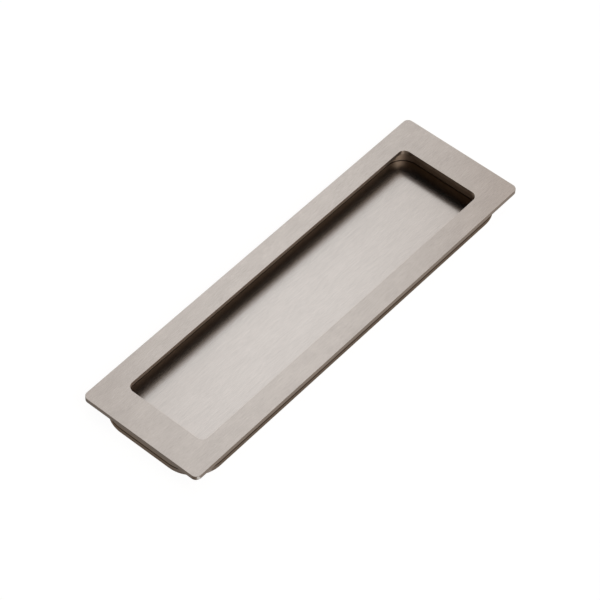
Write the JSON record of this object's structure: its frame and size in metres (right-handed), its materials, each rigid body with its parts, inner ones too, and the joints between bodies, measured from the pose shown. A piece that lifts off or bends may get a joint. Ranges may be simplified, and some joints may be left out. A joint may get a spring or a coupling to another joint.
{
  "type": "flush pocket door pull",
  "caption": "Flush rectangular finger pull for a sliding pocket door: a thin satin metal face plate with a rounded window over a shallow cup that a brushed sheet closes with a floor.",
  "frame": {"origin": "middle of the flat back of the floor sheet, the lowest point of the pull as it lies face up", "axes": "+X along the pull's length, +Y across it, +Z out of the face plate, away from the door"},
  "size_m": [0.15, 0.0446, 0.009],
  "materials": {
    "plate_satin_nickel": "satin nickel, brushed along the length",
    "cup_satin_nickel": "satin nickel, plain and darker on the sides that go into the door",
    "floor_satin_nickel": "satin nickel, brushed along the length, a little paler than the face plate"
  },
  "bodies": {
    "root": {"face_plate": "plate_satin_nickel", "cup": "cup_satin_nickel", "floor_sheet": "floor_satin_nickel"}
  },
  "joints": []
}
